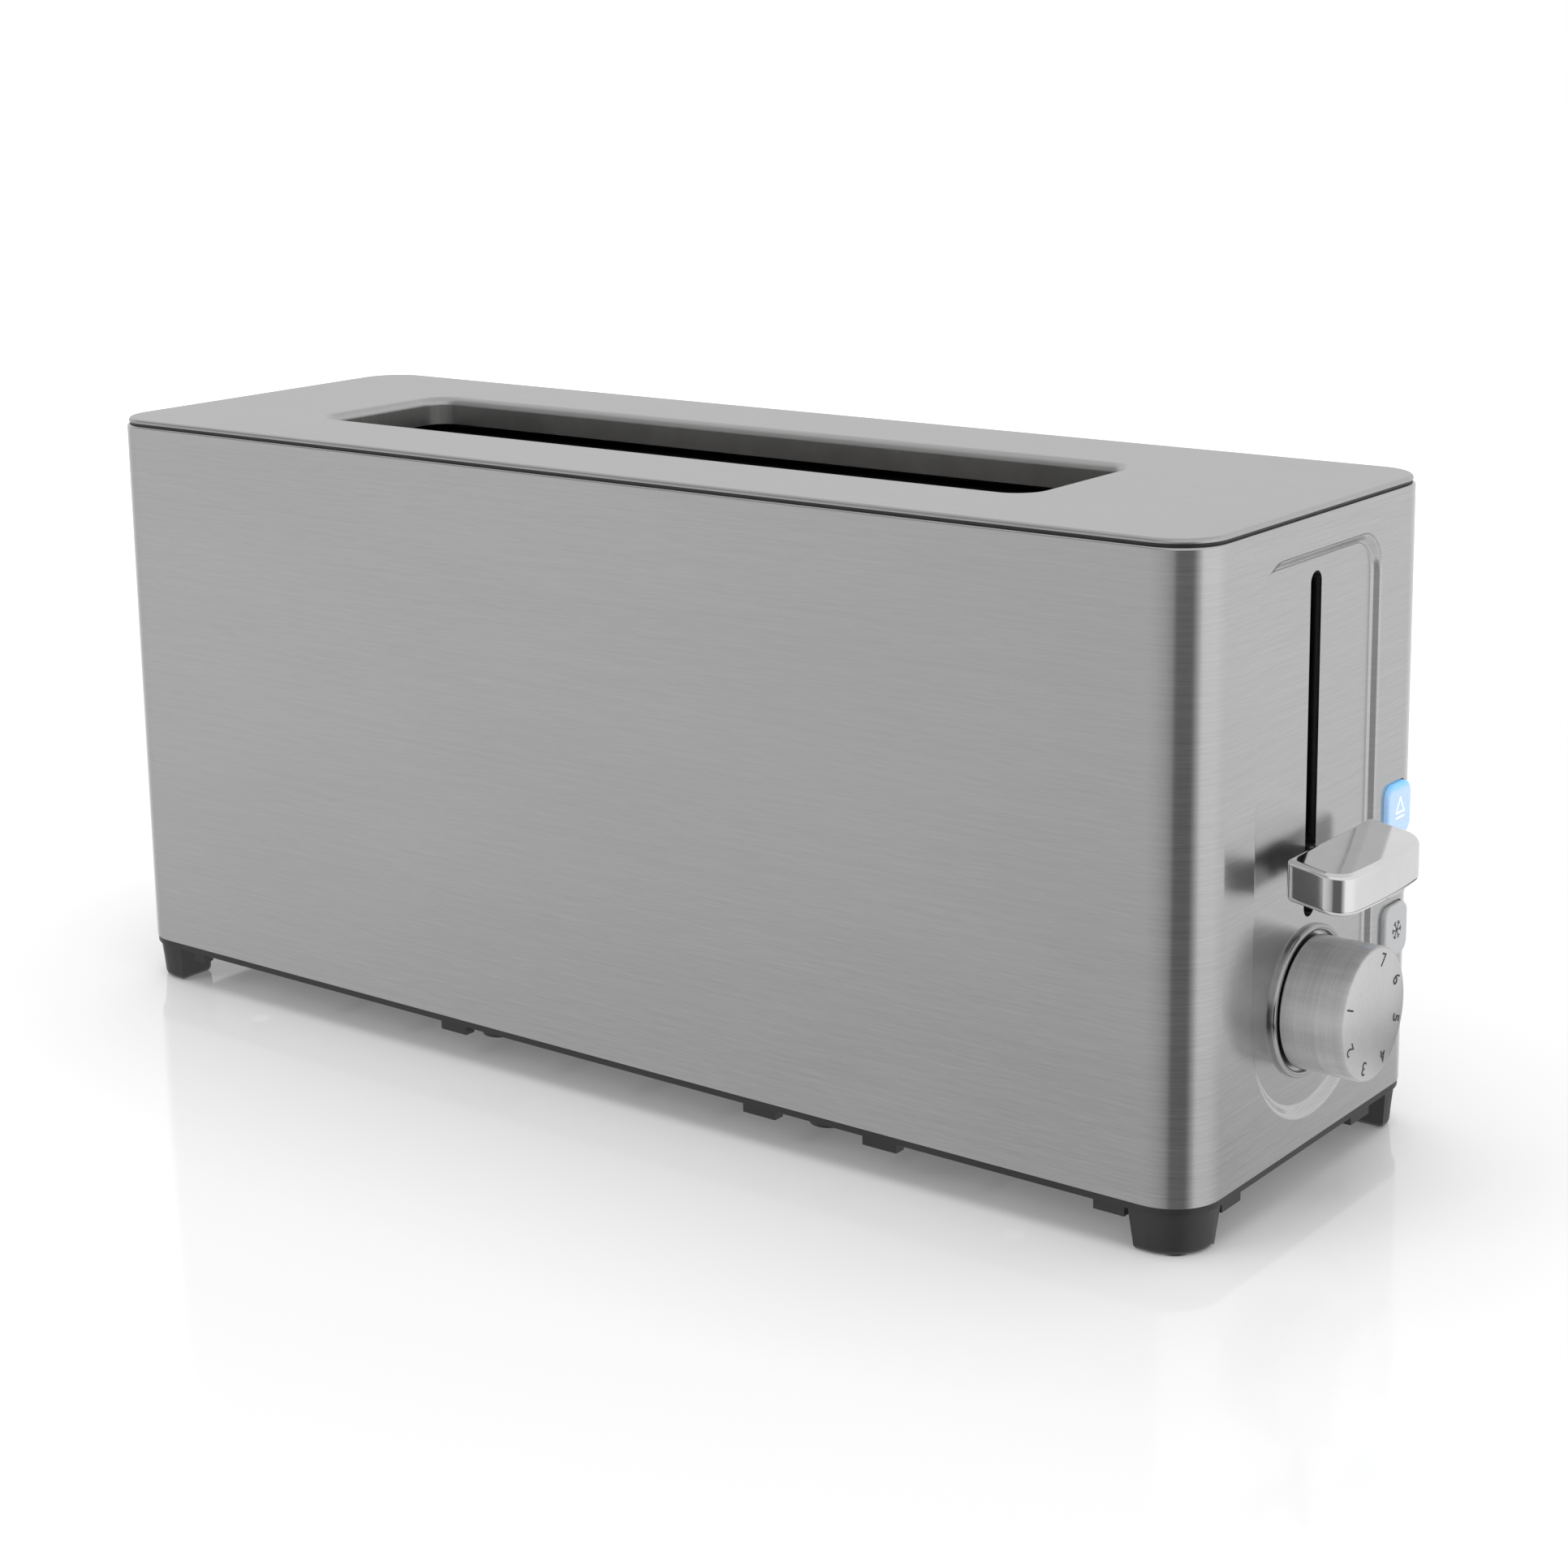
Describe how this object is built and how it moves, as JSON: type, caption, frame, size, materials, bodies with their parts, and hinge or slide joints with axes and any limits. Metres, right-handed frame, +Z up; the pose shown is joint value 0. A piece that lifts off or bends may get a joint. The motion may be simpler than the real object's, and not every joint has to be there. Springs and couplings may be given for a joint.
{
  "type": "pop-up toaster",
  "caption": "Long-slot pop-up toaster with a brushed steel body, push-down lever, browning dial, push buttons and a slide-out crumb tray.",
  "frame": {"origin": "on the worktop, under the middle of the whole toaster with its lever", "axes": "+X out of the end with the lever and dial, +Z up, +Y towards the side with the push buttons"},
  "size_m": [0.408, 0.124, 0.1806],
  "materials": {
    "brushed_steel": "stainless sheet brushed along its length",
    "brushed_lid": "fine brushed stainless sheet, lighter from above",
    "satin_dial": "turned and satin-faced metal",
    "polished_chrome": "polished and plated",
    "black_plastic": "moulded, slightly shiny",
    "foot_rubber": "soft rubber pad",
    "blackened_steel": "sheet blackened against the heat",
    "plated_steel": "zinc-plated sheet",
    "bright_aluminium": "bright rolled sheet",
    "mica_board": "pressed mica sheet",
    "heating_ribbon": "flat heating ribbon, dulled by heat",
    "guide_wire": "bright drawn wire",
    "spring_steel": "bright steel",
    "bronze_bush": "sintered bronze",
    "contact_brass": "spring brass strip",
    "copper_coil": "enamelled copper winding",
    "grey_nylon": "moulded nylon",
    "circuit_board": "green circuit board",
    "relay_case": "moulded case",
    "capacitor_case": "dipped film capacitor",
    "lamp_lens": "small clear lamp",
    "lit_button": "translucent, lit from behind",
    "plain_button": "satin plastic"
  },
  "bodies": {
    "casing": {"base_frame": "black_plastic", "base_screws": "spring_steel", "board_screws": "spring_steel", "board_spacers": "grey_nylon", "button_guide": "black_plastic", "contact_blades": "contact_brass", "contact_block": "black_plastic", "control_board": "circuit_board", "cord_gland": "black_plastic", "dial_collar": "polished_chrome", "dropper_capacitor": "capacitor_case", "foot_lever_left": "black_plastic", "foot_lever_right": "black_plastic", "foot_pads": "foot_rubber", "foot_rear_left": "black_plastic", "foot_rear_right": "black_plastic", "gland_nut": "black_plastic", "guide_rod": "spring_steel", "heat_shield_left": "bright_aluminium", "heat_shield_right": "bright_aluminium", "heater_board_left": "mica_board", "heater_board_right": "mica_board", "heater_ribbon_left": "heating_ribbon", "heater_ribbon_right": "heating_ribbon", "indicator_lamps": "lamp_lens", "lever_end_plate": "plated_steel", "lid_seal": "black_plastic", "lift_spring": "spring_steel", "magnet_bracket": "plated_steel", "magnet_coil": "copper_coil", "magnet_core": "spring_steel", "outer_sleeve": "brushed_steel", "power_relay": "relay_case", "push_switches": "black_plastic", "rear_end_plate": "plated_steel", "slot_frame": "blackened_steel", "slot_shield": "black_plastic", "terminal_block": "grey_nylon", "timer_control": "grey_nylon", "top_lid": "brushed_lid"},
    "carriage": {"bread_rack": "guide_wire", "rack_riser": "guide_wire", "carriage_slider": "grey_nylon", "slider_bushes": "bronze_bush", "latch_plate": "plated_steel", "lever_stem": "spring_steel", "lever_knob": "polished_chrome"},
    "left_guide": {"bread_guide_left": "guide_wire"},
    "right_guide": {"bread_guide_right": "guide_wire"},
    "dial": {"dial_knob": "satin_dial", "dial_shaft": "spring_steel"},
    "cancel": {"cancel_button": "lit_button"},
    "reheat": {"reheat_button": "plain_button"},
    "defrost": {"defrost_button": "plain_button"},
    "tray": {"crumb_tray": "plated_steel", "crumb_tray_handle": "black_plastic"}
  },
  "joints": [
    {"name": "carriage_slide", "type": "slide", "parent": "casing", "child": "carriage", "axis": [0, 0, 1], "range_m": [0, 0.07], "deforming": ["lift_spring"]},
    {"name": "left_guide_slide", "type": "slide", "parent": "casing", "child": "left_guide", "axis": [0, -1, 0], "range_m": [0, 0.006]},
    {"name": "right_guide_slide", "type": "slide", "parent": "casing", "child": "right_guide", "axis": [0, 1, 0], "range_m": [0, 0.006]},
    {"name": "dial_turn", "type": "hinge", "parent": "casing", "child": "dial", "pos_m": [0.1835, 0, 0.051], "axis": [1, 0, 0], "range_deg": [0, 290]},
    {"name": "cancel_press", "type": "slide", "parent": "casing", "child": "cancel", "axis": [-1, 0, 0], "range_m": [0, 0.0016], "stiffness_N_per_m": 400, "springref_m": -0.002},
    {"name": "reheat_press", "type": "slide", "parent": "casing", "child": "reheat", "axis": [-1, 0, 0], "range_m": [0, 0.0016], "stiffness_N_per_m": 400, "springref_m": -0.002},
    {"name": "defrost_press", "type": "slide", "parent": "casing", "child": "defrost", "axis": [-1, 0, 0], "range_m": [0, 0.0016], "stiffness_N_per_m": 400, "springref_m": -0.002},
    {"name": "crumb_tray_slide", "type": "slide", "parent": "casing", "child": "tray", "axis": [-1, 0, 0], "range_m": [0, 0.29]}
  ],
  "couplings": [
    {"joint": "left_guide_slide", "follows": "carriage_slide", "ratio": 0.0857},
    {"joint": "right_guide_slide", "follows": "carriage_slide", "ratio": 0.0857}
  ]
}
